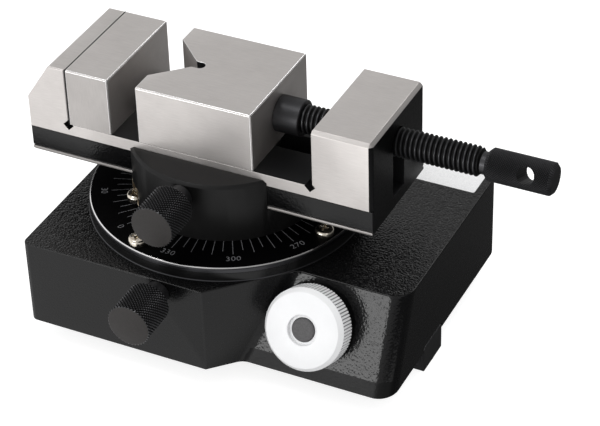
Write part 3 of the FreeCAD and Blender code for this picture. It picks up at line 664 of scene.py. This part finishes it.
def thread(start, stop, pitch, crest, depth, steps=40):
    """Thread about X: one pitch of its outline spun along the screw, then trimmed square and closed."""
    turns = math.ceil((stop - start) / pitch) + 2
    root = crest - depth
    shoulder, flank = crest - depth * 0.12, root + depth * 0.22
    outline = [(0.0, root), (0.16, root), (0.24, flank), (0.42, shoulder), (0.47, crest), (0.61, crest),
               (0.66, shoulder), (0.84, flank), (0.92, root), (1.0, root)]
    bm = spun([(start - pitch + x * pitch, r) for x, r in outline], steps, turns, pitch / steps)
    bmesh.ops.remove_doubles(bm, verts=bm.verts, dist=0.004 * MM)
    for place, normal in ((start, (-1.0, 0.0, 0.0)), (stop, (1.0, 0.0, 0.0))):
        split(bm, (place, 0.0, 0.0), normal, clear=True)
    bmesh.ops.holes_fill(bm, edges=[e for e in bm.edges if e.is_boundary], sides=0)
    bmesh.ops.recalc_face_normals(bm, faces=bm.faces)
    return bm


def taper_end(bm, place, length, radius, crest, rings=5):
    """Chamfers a thread's end: rings are cut in and points past a cone drawn back to it."""
    for ring in spread(place, place - length, rings - 1):
        split(bm, (ring, 0.0, 0.0), (1.0, 0.0, 0.0))
    for vert in bm.verts:
        past = (vert.co.x - place + length) / length
        if past > 0.0:
            limit = crest + (radius - crest) * past
            if off_axis(vert) > limit:
                push(vert, off_axis(vert) - limit)


def slab(low, high, corner=0.0, edge=0.0):
    """Block between two corners, with its upright corners and top edges rounded."""
    bm = bmesh.new()
    matrix = Matrix.Translation((low + high) / 2) @ Matrix.Diagonal((*(high - low), 1.0))
    bmesh.ops.create_cube(bm, size=1.0, matrix=matrix)

    def bevel(edges, offset, segments):
        bmesh.ops.bevel(bm, geom=edges, offset=offset, offset_type="OFFSET", segments=segments, profile=0.5,
                        affect="EDGES", material=-1)
    if corner:
        bevel([e for e in bm.edges if abs((e.verts[0].co - e.verts[1].co).normalized().z) > 0.9], corner, 6)
    if edge:
        bevel([e for e in bm.edges if min(v.co.z for v in e.verts) > high.z - 1e-7], edge, 2)
    return bm


# -------- pieces

class ViseOperator:
    """What the vise's operators share."""
    bl_options = {"REGISTER", "UNDO"}

    def execute(self, context):
        self.build()
        return {"FINISHED"}


class VISE_OT_base(ViseOperator, bpy.types.Operator):
    """Paints the base casting and finishes its cover and screws"""
    bl_idname = "vise.base"
    bl_label = "Base casting"

    def build(self):
        foot = BASE_LOW.z + 6.2 * MM
        top, wall, edge, panel, foot_band = range(5)

        def face_finish(centre, normal):
            if normal.z < 0.2:
                return wall
            if centre.z < foot:
                return foot_band
            return panel if normal.z < 0.8 else top
        dress("base", "base_casting", "base",
              ["base paint", "wall paint", "paint edges", "panel paint", "foot paint"],
              sizes().paint_round, face_finish, segments=3, level=foot, edge=edge)
        repaint("cover plate", "bottom_cover")
        repaint("black oxide", "cover_screws")
        repaint("bronze", "spindle_bush")
        repaint("plain steel", "plunger_housing", "return_plunger")


class VISE_OT_stage_key(ViseOperator, bpy.types.Operator):
    """Finishes the steel key under the base"""
    bl_idname = "vise.stage_key"
    bl_label = "Stage key"

    def build(self):
        dress("stage_key", "key_bar", "base", ["key steel"], width=0.25 * MM)
        repaint("black oxide", "key_screws")


class VISE_OT_sticker(ViseOperator, bpy.types.Operator):
    """Lays the plain white sticker on the base's top"""
    bl_idname = "vise.sticker"
    bl_label = "Sticker"

    low, high = Vector((58.6, 42.3, 48.5)) * MM, Vector((90.8, 55.9, 48.6)) * MM
    corner, edge = 1.0 * MM, 0.03 * MM

    def build(self):
        bm = slab(self.low, self.high, self.corner, self.edge)
        finish_piece("sticker", bm, "base", ["sticker white"])


class VISE_OT_turntable(ViseOperator, bpy.types.Operator):
    """Finishes the turntable and the scale disc with its bright rim, a thin painted highlight"""
    bl_idname = "vise.turntable"
    bl_label = "Turntable and dial"

    line_lift, line_height, line_width = 0.06 * MM, 0.42 * MM, 0.3 * MM

    def build(self):
        repaint("turntable edge", "turntable")
        # painted highlight: only the chamfer's top band is bright metal, the rest of it takes the dark side's
        # finish
        bright, rim_start = DIAL_HIGH.z - 0.36 * MM, DIAL_HIGH.x - 1.0 * MM
        black, rim, side = range(3)

        def face_finish(centre, normal):
            if math.hypot(centre.x, centre.y) < rim_start or abs(normal.z) > 0.9:
                return black
            return rim if centre.z > bright else side
        dress("dial", "dial_disc", "table", ["dial black", "rim metal", "dial side"], FINE_ROUND,
              face_finish, level=bright)
        self.foot_line()
        repaint("plain steel", "thrust_collar", "tangent_arm")
        repaint("black oxide", "collar_grub_screws", "snap_ring")

    def foot_line(self):
        """Thin bright bevel where the turntable meets the base."""
        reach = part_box("turntable")[1].x
        foot, width = BASE_HIGH.z + self.line_lift, self.line_width
        top, inner = foot + self.line_height, reach - width
        bm = lathe([(foot, inner), (foot, reach + width - 0.02 * MM), (foot + 0.1 * MM, reach + width),
                    (top, reach + 0.02 * MM), (top, inner), (foot, inner)], 256)
        aim(bm, (0.0, 0.0, 1.0), ORIGIN)
        finish_piece("turntable_foot_line", bm, "table", ["dial side"])


class VISE_OT_graduations(ViseOperator, bpy.types.Operator):
    """Draws the dial's lines every five degrees and its figures every thirty"""
    bl_idname = "vise.graduations"
    bl_label = "Graduations and figures"

    zero, line_step, figure_step = -121.0, 5, 30
    inner, long_end, short_end = 38.0 * MM, 48.2 * MM, 46.0 * MM
    figure_r = 51.2 * MM
    line_height = 0.05 * MM
    font_size = 1.38  # of a font, for figures one unit high

    def build(self):
        bm = bmesh.new()
        for degrees in range(0, 360, self.line_step):
            end = self.short_end if degrees % (2 * self.line_step) else self.long_end
            size = Matrix.Diagonal((end - self.inner, sizes().mark_width, self.line_height, 1.0))
            bmesh.ops.create_cube(bm, size=1.0, matrix=self.place(degrees, (end + self.inner) / 2) @ size)
        for degrees in range(0, 360, self.figure_step):
            self.figure(bm, str(degrees), self.place(degrees, self.figure_r) @ Matrix.Rotation(math.pi / 2, 4, "Z"))
        finish_piece("dial_graduations", bm, "table", ["graduation white"])

    def place(self, degrees, reach):
        """Matrix of a place on the dial's top, at a graduation and a distance from the centre."""
        turn = Matrix.Rotation(math.radians(self.zero - degrees), 4, "Z")
        return turn @ Matrix.Translation((reach, 0.0, DIAL_HIGH.z))

    def figure(self, bm, text, matrix):
        """One figure, its top towards the hub."""
        curve = bpy.data.curves.new("figure", "FONT")
        assign(curve, body=text, size=sizes().figure_height * self.font_size, align_x="CENTER", align_y="CENTER",
               extrude=0.02 * MM, space_character=1.05, offset=-0.035 * MM, resolution_u=4)
        temp = add_object("figure", curve)
        mesh = bpy.data.meshes.new_from_object(temp.evaluated_get(bpy.context.evaluated_depsgraph_get()))
        mesh.transform(matrix)
        bm.from_mesh(mesh)
        bpy.data.objects.remove(temp)
        bpy.data.curves.remove(curve)
        bpy.data.meshes.remove(mesh)


class VISE_OT_pan_screws(ViseOperator, bpy.types.Operator):
    """Finishes the nickel pan screws on the dial and at the hub's foot"""
    bl_idname = "vise.pan_screws"
    bl_label = "Pan screws"

    def build(self):
        for node, name in (("dial_screws", "dial_pan_screws"), ("hub_screws", "hub_pan_screws")):
            dress(node, name, "table", ["nickel"], FINE_ROUND)


class VISE_OT_hub(ViseOperator, bpy.types.Operator):
    """Finishes the slotted hub with its bare notches, its bolt and the two brass pads"""
    bl_idname = "vise.hub"
    bl_label = "Hub"

    def build(self):
        rounding, inset, reach, top = 0.18 * MM, 0.8 * MM, 6.4 * MM, DIAL_HIGH.z + 9.5 * MM
        seats = [Matrix.Rotation(math.radians(turn), 2) @ Vector((HUB_HIGH.y - inset, 0.0))
                 for turn in (-139.5, 40.5)]

        def face_finish(centre, normal):
            inside = math.hypot(centre.x, centre.y) < HUB_HIGH.y - 0.05 * MM
            low = DIAL_HIGH.z + 0.1 * MM < centre.z < top
            close = min((centre.xy - seat).length for seat in seats) < reach
            return 1 if inside and low and close else 0
        dress("hub", "slotted_hub", "table", ["hub black", "bare notch"], rounding, face_finish)
        repaint("black oxide", "hub_bolt")
        repaint("brass", "hub_clamp_pad", "base_lock_pad")


class VISE_OT_thumbscrews(ViseOperator, bpy.types.Operator):
    """Turns the two thumbscrews with their diamond knurls"""
    bl_idname = "vise.thumbscrews"
    bl_label = "Thumbscrews"

    def build(self):
        for node, name, body in (("hub_clamp_screw", "hub_thumbscrew", "hub_clamp"),
                                 ("base_lock_screw", "base_thumbscrew", "base_lock")):
            low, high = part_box(node)
            bm = self.thumbscrew(high.y - low.y)
            aim(bm, (0.0, 1.0, 0.0), Vector(((low.x + high.x) / 2, low.y, (low.z + high.z) / 2)))
            finish_piece(name, bm, body, ["ridged oxide", "thumbscrew face"], (node,), FINE_CREASE)

    def thumbscrew(self, length):
        """Head, neck and shank about X from the head's face."""
        radius, chamfer, head, rows = 9.2 * MM, 0.6 * MM, 17.0 * MM, 22
        neck, neck_end, shank, step = 5.0 * MM, 24.0 * MM, 3.0 * MM, 0.2 * MM
        band = [(x, radius) for x in spread(chamfer, head - chamfer, rows)]
        profile = ([(0.0, 0.0), (0.0, radius - chamfer * 1.6), (chamfer * 0.35, radius - chamfer * 0.8)] + band
                   + [(head, radius - chamfer), (head, neck + step), (head + step, neck), (neck_end - step, neck),
                      (neck_end, neck - step), (neck_end, shank), (length - 0.5 * MM, shank),
                      (length, shank - 0.5 * MM), (length, 0.0)])
        count = sizes().thumb_knurls
        bm = lathe(profile, count * 2)
        knurl(bm, chamfer, head - chamfer, rows, count, radius, sizes().knurl_depth)
        mark_ridges(bm, chamfer, head - chamfer, radius, sizes().knurl_depth, ahead=1.0)
        for face in bm.faces:
            face.material_index = 1 if face.calc_center_median().x < chamfer * 0.2 else 0
        return bm


class VISE_OT_bed(ViseOperator, bpy.types.Operator):
    """Finishes the vise bed: ground steel above and, darkened as painted shade, at its foot; painted strips, dark
    grooves and end face
    """
    bl_idname = "vise.bed"
    bl_label = "Vise bed"

    def build(self):
        paint_line, foot, foot_groove = (BED_LOW.z + rise * MM for rise in (11.71, 2.01, 2.66))
        side, slot_half = 24.0 * MM, 5.4 * MM
        ground, strip, groove, shaded_foot_steel, end = range(5)

        def face_finish(centre, normal):
            outer, lengthwise = abs(centre.y) > side, abs(normal.x) < 0.5
            leaning = abs(normal.y) < 0.1 and abs(normal.x) > 0.6 and abs(normal.z) > 0.6
            if centre.x > BED_HIGH.x - 1.0 * MM and normal.x > 0.6 and abs(normal.z) < 0.3:
                return end
            if leaning and centre.z < RAIL_Z + 2.0 * MM:
                return groove
            # painted shade: the foot takes a darker copy of the ground steel
            if centre.z < foot and lengthwise:
                return shaded_foot_steel
            if centre.z < foot_groove and outer and lengthwise:
                return groove
            if outer and centre.z < paint_line:
                return strip
            if centre.z < paint_line and abs(normal.x) > 0.9 and centre.x < BED_LOW.x + 0.1 * MM:
                return strip
            through = abs(centre.y) < slot_half and abs(normal.x) < 0.9
            return groove if through and BED_LOW.z + 1.0 * MM < centre.z < SCREW_Z else ground
        dress("vise_bed", "vise_bed_block", "bed",
              ["ground steel", "strip paint", "groove black", "foot steel", "end paint"],
              sizes().edge_round, face_finish)
        repaint("black oxide", "jaw_plate_screws")


class VISE_OT_jaws(ViseOperator, bpy.types.Operator):
    """Finishes the jaw plate with a strip of painted shade in its seam, and the moving jaw"""
    bl_idname = "vise.jaws"
    bl_label = "Jaws"

    def build(self):
        # the edge roundings take polished steel with a painted highlight
        dress("jaw_plate", "jaw_plate_block", "bed",
              ["ground steel", "upright-ground steel", "steel edges"],
              sizes().jaw_round, lambda centre, normal: 1 if abs(normal.y) > 0.9 else 0, edge=2)
        # painted shade in the seam
        self.joint_line()
        slot_half, slot_start, slot_end = 2.3 * MM, JAW_LOW.x + 14.2 * MM, JAW_LOW.x + 18.5 * MM

        def jaw_finish(centre, normal):
            slot = abs(centre.y) < slot_half and slot_start < centre.x < slot_end
            return 1 if slot and abs(normal.z) < 0.5 else 0
        # the edge roundings take polished steel with a painted highlight
        dress("moving_jaw", "moving_jaw_block", "jaw", ["ground steel", "groove black", "steel edges"],
              sizes().jaw_round, jaw_finish, edge=2)
        repaint("plain steel", "jaw_guide", "nose_pin")
        repaint("black oxide", "jaw_guide_screws")

    def joint_line(self):
        """Black strip at the bottom of the seam between the fixed jaw and the jaw plate: painted shade."""
        bm = slab(Vector((PLATE_LOW.x - 0.16 * MM, PLATE_LOW.y + 0.03 * MM, PLATE_LOW.z + 0.2 * MM)),
                  Vector((PLATE_LOW.x + 0.1 * MM, PLATE_HIGH.y - 0.03 * MM, PLATE_HIGH.z - 0.1 * MM)))
        finish_piece("jaw_seam", bm, "bed", ["groove black"])


class VISE_OT_lead_screw(ViseOperator, bpy.types.Operator):
    """Cuts the vise screw's thread and its knurled, cross-drilled handle"""
    bl_idname = "vise.lead_screw"
    bl_label = "Vise screw"

    def build(self):
        nose, collar, collar_end = 12.6 * MM, 24.65 * MM, 35.55 * MM
        thread_end, neck_end, tip = 110.8 * MM, 113.1 * MM, 140.3 * MM
        nose_r, collar_r, crest, neck, handle = 4.5 * MM, 7.5 * MM, 6.0 * MM, 4.4 * MM, 6.7 * MM
        bevel, chamfer, depth = 0.3 * MM, 1.3 * MM, sizes().thread_depth
        front = lathe([(nose, 0.0), (nose, nose_r - 0.5 * MM), (nose + 0.5 * MM, nose_r), (collar, nose_r),
                       (collar, collar_r - bevel), (collar + bevel, collar_r), (collar_end - bevel, collar_r),
                       (collar_end, collar_r - bevel), (collar_end, 0.0)], 96)
        screw = thread(collar_end - 0.2 * MM, thread_end, sizes().thread_pitch, crest, depth)
        taper_end(screw, thread_end, chamfer, neck + 0.2 * MM, crest)
        whole = self.grip(thread_end - 1.0 * MM, neck_end, tip, neck, handle, chamfer)
        mark_ridges(screw, collar_end, thread_end, crest + 0.3 * depth, 1.3 * depth)
        mark_ridges(front)
        join(whole, screw)
        join(whole, front)
        bmesh.ops.translate(whole, vec=(0.0, 0.0, SCREW_Z), verts=whole.verts)
        finish_piece("vise_screw", whole, "screw", ["ridged oxide"], ("lead_screw",), FINE_CREASE)

    def grip(self, start, neck_end, tip, neck, handle, chamfer):
        """Neck and knurled handle with its cross hole."""
        low, high, rows, count = neck_end + chamfer, tip - chamfer, 50, sizes().handle_knurls
        hole_r, hole_half, hole_inset, tilt = 3.5 * MM, 12.0 * MM, 10.3 * MM, math.radians(23.0)
        band = [(x, handle) for x in spread(low, high, rows)]
        bm = lathe([(start, 0.0), (start, neck), (neck_end, neck), (neck_end, handle - chamfer)] + band
                   + [(tip, handle - chamfer), (tip, 0.0)], count * 2)
        knurl(bm, low, high, rows, count, handle, 0.42 * MM)
        hole = lathe([(-hole_half, 0.0), (-hole_half, hole_r), (hole_half, hole_r), (hole_half, 0.0)], 48)
        aim(hole, (0.0, -math.cos(tilt), math.sin(tilt)), (tip - hole_inset, 0.0, 0.0))
        drilled = carve(bm, hole)
        mark_ridges(drilled, low, high, handle, 0.76 * MM, ahead=0.8)
        return drilled


class VISE_OT_feed_knob(ViseOperator, bpy.types.Operator):
    """Turns the white feed knob with its serrated rim, and finishes its screw and bush"""
    bl_idname = "vise.feed_knob"
    bl_label = "Feed knob"

    def build(self):
        rim, face, length, bevel = 16.8 * MM, 15.4 * MM, 11.5 * MM, 2.3 * MM
        recess, depth, bore, groove, stand = 6.1 * MM, 1.6 * MM, 5.0 * MM, 0.5 * MM, 14.2 * MM
        band = [(bevel, rim), (bevel + 0.3 * MM, rim), (length - 1.4 * MM, rim),
                (length - 1.1 * MM, rim - 0.25 * MM)]
        profile = ([(depth, bore), (depth, recess - 0.2 * MM), (depth - 0.2 * MM, recess), (0.35 * MM, recess),
                    (0.12 * MM, recess + 0.12 * MM), (0.0, recess + 0.35 * MM), (0.0, face - 0.5 * MM),
                    (0.15 * MM, face - 0.1 * MM), (0.5 * MM, face + 0.15 * MM)] + band
                   + [(length, rim - 1.2 * MM), (length, bore), (depth, bore)])
        count = sizes().knob_serrations
        bm = lathe(profile, count * 4)
        serrate(bm, bevel + 0.2 * MM, length - 0.9 * MM, count, rim, groove)
        aim(bm, FEED_AXIS, FEED_FOOT - FEED_AXIS * stand)
        finish_piece("feed_knob_white", bm, "knob", ["knob white"], ("feed_knob",), FINE_CREASE)
        dress("feed_screw", "feed_screw_end", "knob", ["shaft end"], 0.1 * MM)
        repaint("brass", "feed_bush")
        repaint("plain steel", "feed_ball")


# -------- stage

class VISE_OT_stage(ViseOperator, bpy.types.Operator):
    """Lays the pale floor and sets the light and the camera"""
    bl_idname = "vise.stage"
    bl_label = "Floor, light and camera"

    def build(self):
        scene = bpy.context.scene
        scene.view_settings.view_transform = "Standard"
        self.floor()
        self.world(scene)
        self.lamps()
        self.camera(scene)

    def floor(self):
        bm = bmesh.new()
        bmesh.ops.create_grid(bm, x_segments=8, y_segments=8, size=6.0)
        mesh = to_mesh("floor", bm)
        mesh.materials.append(finish("floor"))
        add_object("floor", mesh)

    def world(self, scene):
        """White for the camera, even for diffuse light, and for mirrors brighter towards one side."""
        brighter_way, middle, least, even_light = (-0.438, -0.169, -0.246), 0.66, 0.03, 0.86
        world = bpy.data.worlds.new("vise studio")
        scene.world = world
        world.use_nodes = True
        tree = world.node_tree
        tree.nodes.clear()
        path = add_node(tree, "ShaderNodeLightPath")
        way = add_node(tree, "ShaderNodeTexCoord").outputs["Generated"]
        slope = vector_maths(tree, "DOT_PRODUCT", way, brighter_way)
        soft = maths(tree, "MAXIMUM", maths(tree, "ADD", slope.outputs["Value"], middle), least)
        even = maths(tree, "MULTIPLY", path.outputs["Is Diffuse Ray"], even_light)
        strength = maths(tree, "MAXIMUM", maths(tree, "MAXIMUM", path.outputs["Is Camera Ray"], even), soft)
        light = add_node(tree, "ShaderNodeBackground", {"Color": WHITE, "Strength": strength})
        out = add_node(tree, "ShaderNodeOutputWorld")
        tree.links.new(light.outputs[0], out.inputs["Surface"])

    def lamps(self):
        """Area lamps, each with its place, the point it faces, its two sides and its power in watts."""
        for name, place, target, (width, height), power in (
                ("front_light", (-0.43, -1.42, 0.20), (0.05, -0.03, 0.06), (0.85, 0.35), 5.0),
                ("top_light", (-0.57, -0.27, 1.40), (0.0, 0.0, 0.05), (0.5, 0.35), 3.2),
                ("rim_light", (0.36, 1.00, 1.05), (0.0, 0.0, 0.05), (0.45, 0.4), 2.3),
                ("side_light", (1.00, -0.80, 0.75), (0.03, 0.0, 0.05), (0.6, 0.6), 0.9)):
            light = bpy.data.lights.new(name, "AREA")
            assign(light, shape="RECTANGLE", size=width, size_y=height, energy=power)
            obj = add_object(name, light)
            obj.location = place
            obj.rotation_euler = (Vector(target) - Vector(place)).to_track_quat("-Z", "Y").to_euler()

    def camera(self, scene):
        """The camera fitted to the photo; its focal length is in the photo's pixels."""
        azimuth, elevation, roll = 26.85, 35.81, -1.81
        focal, photo_width, sensor = 2253.48, 600.0, 36.0
        data = bpy.data.cameras.new("camera")
        assign(data, sensor_width=sensor, lens=sensor * focal / photo_width, clip_start=0.05, clip_end=30.0)
        obj = add_object("camera", data)
        obj.matrix_world = Matrix.Translation((0.36692, -0.66163, 0.58433))
        for degrees, axis in ((azimuth, "Z"), (90.0 - elevation, "X"), (roll, "Z")):
            obj.matrix_world @= Matrix.Rotation(math.radians(degrees), 4, axis)
        scene.camera = obj


class VISE_PT_panel(bpy.types.Panel):
    """Lists the vise's pieces with their sizes and colours"""
    bl_idname = "VISE_PT_panel"
    bl_label = "Rotary vise"
    bl_space_type = "VIEW_3D"
    bl_region_type = "UI"
    bl_category = "Vise"

    def draw(self, context):
        column = self.layout.column(align=True)
        for operator in PIECES:
            column.operator(operator.bl_idname)
        for group in (sizes(), colours()):
            box = self.layout.box()
            for name in group.__annotations__:
                box.prop(group, name)


PIECES = (VISE_OT_base, VISE_OT_stage_key, VISE_OT_sticker, VISE_OT_turntable, VISE_OT_graduations,
          VISE_OT_pan_screws, VISE_OT_hub, VISE_OT_thumbscrews, VISE_OT_bed, VISE_OT_jaws,
          VISE_OT_lead_screw, VISE_OT_feed_knob, VISE_OT_stage)
CLASSES = (ViseSizes, ViseColours, *PIECES, VISE_PT_panel)


def register():
    for cls in CLASSES:
        bpy.utils.register_class(cls)
    bpy.types.Scene.vise_sizes = PointerProperty(type=ViseSizes)
    bpy.types.Scene.vise_colours = PointerProperty(type=ViseColours)


def unregister():
    del bpy.types.Scene.vise_colours
    del bpy.types.Scene.vise_sizes
    for cls in reversed(CLASSES):
        bpy.utils.unregister_class(cls)


def main():
    """Builds every piece."""
    register()
    for operator in PIECES:
        family, name = operator.bl_idname.split(".")
        getattr(getattr(bpy.ops, family), name)()


if __name__ == "__main__":
    main()
